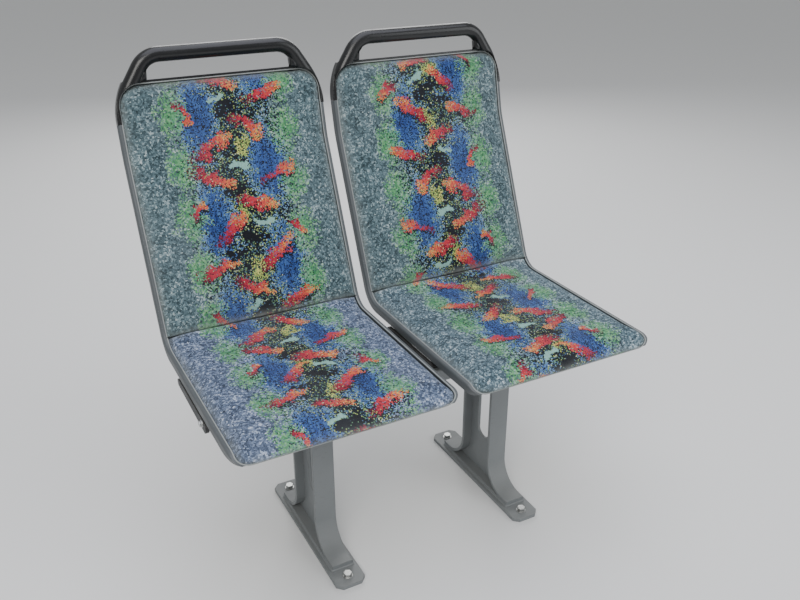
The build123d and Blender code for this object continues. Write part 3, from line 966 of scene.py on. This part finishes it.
def makeWeb(side, way, spec):
    handleName, middle = side + "_grab_handle", seatMiddles[side]
    low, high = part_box(handleName)
    tubeHeight = high.z - spec["tubeDown"]
    tubeBack = spotOn(handleName, (middle, high.y + 1, tubeHeight), (0, -1, 0))[0]
    tubeFront = spotOn(handleName, (middle, low.y - 1, tubeHeight), (0, 1, 0))[0]
    tubeY = (tubeBack.y + tubeFront.y) / 2
    start = (middle + way * spec["across"], tubeY, high.z - spec["over"])
    shelf = spotOn(handleName, start, (0, 0, -1))[0]
    inner, outer = [], []
    for level in range(spec["levels"]):
        share = level / (spec["levels"] - 1)
        z = shelf.z + spec["lift"] + share * spec["height"]
        y = tubeY - (high.z - z) * math.tan(math.radians(spec["tubeLean"]))
        face = spotOn(handleName, (middle, y, z), (way, 0, 0))[0]
        reach = spec["foot"] * (1 - share) ** spec["curve"] - spec["blend"] * share ** 2
        inner.append((face.x - way * reach, y, z))
        outer.append((face.x + way * spec["sink"], y, z))

    # the outline gets its depth, and its foot follows the slope of the shelf
    shape = bmesh.new()
    ring = [shape.verts.new(point) for point in inner + outer[::-1]]
    made = bmesh.ops.extrude_face_region(shape, geom=[shape.faces.new(ring)], use_keep_orig=True)["geom"]
    back = [item for item in made if isinstance(item, bmesh.types.BMVert)]
    bmesh.ops.translate(shape, verts=back, vec=(0, spec["depth"], 0))
    bmesh.ops.translate(shape, verts=shape.verts, vec=(0, -spec["depth"] / 2, 0))
    feet = [ring[0], ring[-1]] + [vert for vert in back if vert.co.z < shelf.z + 1.2 * spec["lift"]]
    slope = math.tan(math.radians(spec["shelfSlope"]))
    for vert in feet:
        vert.co.z = shelf.z - spec["seat"] - (vert.co.y - tubeY) * slope
    bmesh.ops.recalc_face_normals(shape, faces=shape.faces)

    # round the two upright rims that show in the opening
    rims = []
    outside = (outer[0][0] - middle) * way - spec["rimGap"]
    for edge in shape.edges:
        first, second = (vert.co for vert in edge.verts)
        upright = abs(first.y - second.y) < spec["depth"] / 3 and abs(first.z - second.z) > spec["lift"]
        if upright and max((first.x - middle) * way, (second.x - middle) * way) < outside:
            rims.append(edge)
    radius = spec["round"]
    bmesh.ops.bevel(shape, geom=rims, offset=radius, affect="EDGES", segments=3, profile=0.5, material=-1)
    bmesh.ops.triangulate(shape, faces=shape.faces)
    return shape


for side in sides:
    webs = bmesh.new()
    for way in (-1, 1):
        oneWeb = makeWeb(side, way, handleWeb)
        addCopy(webs, oneWeb)
        oneWeb.free()
    webMesh = meshOf(side + "_handle_webs", webs)
    webMesh.shade_smooth()
    finishPiece(side + "_handle_webs", webMesh, finishes["handleBlack"])
print("handle webs placed")


# fasteners

boltForm = {"washerSides": 32, "washerTaper": 0.97, "chamfer": 0.10}


def boltShape(spec):
    # hexagon head with a chamfered crown on a round washer, standing on z = 0
    shape = bmesh.new()
    head, washer = spec["head"], spec["washer"]
    low, high = spec["washerHeight"], spec["headHeight"]
    bmesh.ops.create_cone(
        shape, cap_ends=True, segments=boltForm["washerSides"], radius1=washer,
        radius2=washer * boltForm["washerTaper"], depth=low, matrix=Matrix.Translation((0, 0, low / 2)),
    )
    hexMade = bmesh.ops.create_cone(
        shape, cap_ends=True, segments=6, radius1=head, radius2=head,
        depth=high, matrix=Matrix.Translation((0, 0, low + high / 2)),
    )["verts"]
    rim = [edge for edge in shape.edges if all(vert in hexMade for vert in edge.verts)]
    chamfer = head * boltForm["chamfer"]
    bmesh.ops.bevel(shape, geom=rim, offset=chamfer, affect="EDGES", segments=2, profile=0.5, material=-1)
    return shape


def screwShape(spec):
    # round low head on a short skirt, standing on z = 0 with the skirt below it
    shape = bmesh.new()
    bmesh.ops.create_uvsphere(shape, u_segments=28, v_segments=14, radius=spec["head"])
    cut = spec["head"] * spec["cut"]
    ball = shape.verts[:] + shape.edges[:] + shape.faces[:]
    bmesh.ops.bisect_plane(shape, geom=ball, plane_co=(0, 0, cut), plane_no=(0, 0, 1), clear_inner=True)
    bmesh.ops.translate(shape, verts=shape.verts, vec=(0, 0, -cut))
    bmesh.ops.scale(shape, verts=shape.verts, vec=(1, 1, spec["flat"]))
    rimEdges = [edge for edge in shape.edges if edge.is_boundary]
    lowered = bmesh.ops.extrude_edge_only(shape, edges=rimEdges)["geom"]
    skirt = [item for item in lowered if isinstance(item, bmesh.types.BMVert)]
    bmesh.ops.translate(shape, verts=skirt, vec=(0, 0, -spec["skirt"]))
    bmesh.ops.holes_fill(shape, edges=[edge for edge in shape.edges if edge.is_boundary])
    bmesh.ops.recalc_face_normals(shape, faces=shape.faces)
    return shape


def placeFasteners(name, shape, spots, finishName):
    # copies one fastener to every spot: (place, way that its head faces, turn)
    whole = bmesh.new()
    for place, facing, turn in spots:
        turnIn = Vector((0, 0, 1)).rotation_difference(Vector(facing)).to_matrix().to_4x4()
        addCopy(whole, shape, Matrix.Translation(place) @ turnIn @ Matrix.Rotation(turn, 4, "Z"))
    shape.free()
    finishPiece(name, meshOf(name, whole), finishes[finishName])


# turns are in radians
floorBolt = {
    "washer": 0.0105, "washerHeight": 0.002, "head": 0.0092, "headHeight": 0.0068,
    "across": 0.160, "turn": 0.3,
}
frameBolt = {
    "washer": 0.0072, "washerHeight": 0.0014, "head": 0.0060, "headHeight": 0.0044,
    "footReach": 0.054, "overFoot": 0.40, "sideBack": 0.022, "sideHeight": 0.398,
    "flangeAcross": 0.0125, "flangeThickness": 0.007,
    "footTurn": 0.2, "sideTurn": 0.4, "runnerTurn": 0.7, "legTurn": 0.1,
}
coverScrew = {
    "head": 0.0046, "cut": 0.35, "flat": 0.7, "skirt": 0.0010, "across": 0.172, "behind": 1.0,
    "heights": (0.520, 0.660, 0.812), "turnPerMetre": 40,
}

floorSpots = []
for side in sides:
    low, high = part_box(side + "_foot_plate")
    middle = (low + high) / 2
    for y in (-floorBolt["across"], floorBolt["across"]):
        floorSpots.append(((middle.x, middle.y + y, high.z), (0, 0, 1), floorBolt["turn"] + y))
placeFasteners("floor_bolts", boltShape(floorBolt), floorSpots, "zincSteel")

railBoxes = [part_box("front_cross_rail"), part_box("rear_cross_rail")]
railMiddles = [(low.y + high.y) / 2 for low, high in railBoxes]
railBottom = railBoxes[0][0].z
footSpots, sideSpots, frameSpots = [], [], []
for side, outward in (("aisle", -1), ("window", 1)):
    for place, way in (("outer", outward), ("inner", -outward)):
        bracket = side + "_" + place + "_bracket"
        low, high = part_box(bracket)
        face = high.x if way > 0 else low.x
        for railY in railMiddles:
            over = (face - way * frameBolt["footReach"], railY, frameBolt["overFoot"])
            footSpots.append((spotOn(bracket, over, (0, 0, -1))[0], (0, 0, 1), frameBolt["footTurn"]))
        if place == "outer":
            spot = (face, low.y + frameBolt["sideBack"], frameBolt["sideHeight"])
            sideSpots.append((spot, (way, 0, 0), frameBolt["sideTurn"]))
    for place in ("left", "right"):
        low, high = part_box(side + "_" + place + "_runner")
        for railY in railMiddles:
            spot = ((low.x + high.x) / 2, railY, railBottom)
            frameSpots.append((spot, (0, 0, -1), frameBolt["runnerTurn"]))
    low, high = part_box(side + "_leg")
    for across in (-frameBolt["flangeAcross"], frameBolt["flangeAcross"]):
        for railY in railMiddles:
            spot = ((low.x + high.x) / 2 + across, railY, high.z - frameBolt["flangeThickness"])
            frameSpots.append((spot, (0, 0, -1), frameBolt["legTurn"]))
placeFasteners("bracket_foot_bolts", boltShape(frameBolt), footSpots, "zincSteel")
placeFasteners("bracket_side_bolts", boltShape(frameBolt), sideSpots, "zincSteel")
placeFasteners("frame_bolts", boltShape(frameBolt), frameSpots, "zincSteel")

coverSpots = []
for side in sides:
    for across in (-coverScrew["across"], coverScrew["across"]):
        for height in coverScrew["heights"]:
            start = (seatMiddles[side] + across, coverScrew["behind"], height)
            place, normal = spotOn(side + "_back_cover", start, (0, -1, 0))
            coverSpots.append((place, normal, height * coverScrew["turnPerMetre"]))
placeFasteners("cover_screws", screwShape(coverScrew), coverSpots, "plugBlack")
print("fasteners placed")


# weld beads where each leg stands on its foot plate

weldBead = {
    "radius": 0.0028, "inset": 0.0004, "lift": 0.3,
    "columns": 14, "rows": 80, "ripple": 0.0006, "rippleStep": 2.4,
}


def makeBead(low, high, spec):
    shape = borderOfGrid(spec["columns"], spec["rows"])
    size, middle = high - low, (low + high) / 2
    for index, vert in enumerate(shape.verts):
        wider = spec["ripple"] * math.sin(index * spec["rippleStep"]) - 2 * spec["inset"]
        vert.co.x = middle.x + vert.co.x * (size.x + wider)
        vert.co.y = middle.y + vert.co.y * (size.y + wider)
        vert.co.z = low.z + spec["lift"] * spec["radius"]
    return meshOf("bead", shape)


for side in sides:
    legLow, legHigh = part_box(side + "_leg")
    beadMesh = tubeFromLine(makeBead(legLow, legHigh, weldBead), weldBead["radius"])
    finishPiece(side + "_leg_weld", beadMesh, finishes["frameGrey"])
print("weld beads laid")
